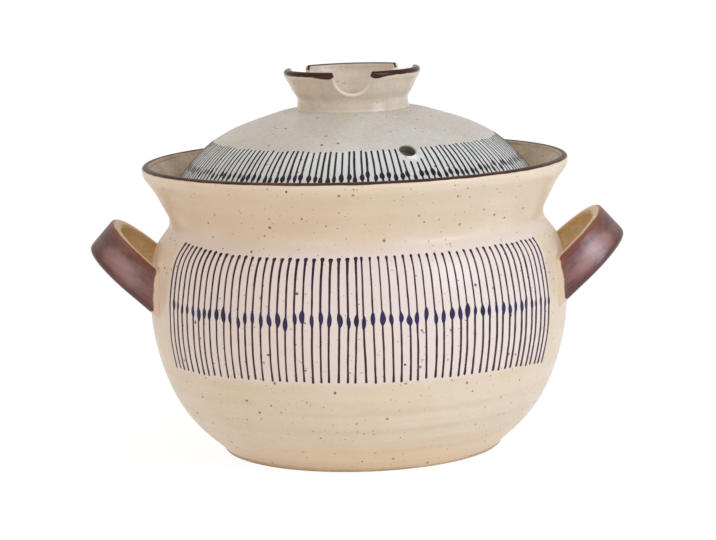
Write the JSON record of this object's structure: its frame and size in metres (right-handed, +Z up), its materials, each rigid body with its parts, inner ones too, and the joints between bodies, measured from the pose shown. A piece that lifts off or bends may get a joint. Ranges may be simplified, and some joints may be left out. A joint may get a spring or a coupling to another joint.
{
  "type": "donabe clay pot",
  "caption": "Round-bellied stoneware casserole with a flared mouth, two upward-tilted strap handles, and a domed lid with a notched ring knob, a steam vent and a locating ring.",
  "frame": {"origin": "centre of the foot, on the surface that the pot stands on", "axes": "+Z up along the pot's axis; +X along the line through the two handles; -Y is the front, where one notch of the knob faces"},
  "size_m": [0.301, 0.24, 0.2149],
  "materials": {
    "pot_glaze": "satin cream glaze with fine iron specks and a painted band of dark blue lines",
    "handle_glaze": "semi-gloss purple-brown glaze outside, ochre cream inside",
    "lid_glaze": "glossy grey-cream glaze, dark brown on the knob's lip",
    "bare_clay": "matt unglazed stoneware"
  },
  "bodies": {
    "pot": {"pot_body": "pot_glaze", "handle_left": "handle_glaze", "handle_right": "handle_glaze"},
    "lid": {"lid_dome": "lid_glaze", "lid_flange": "bare_clay", "lid_knob": "lid_glaze"}
  },
  "joints": [
    {"name": "lid_lift", "type": "slide", "parent": "pot", "child": "lid", "axis": [0, 0, 1], "range_m": [0, 0.08]}
  ]
}
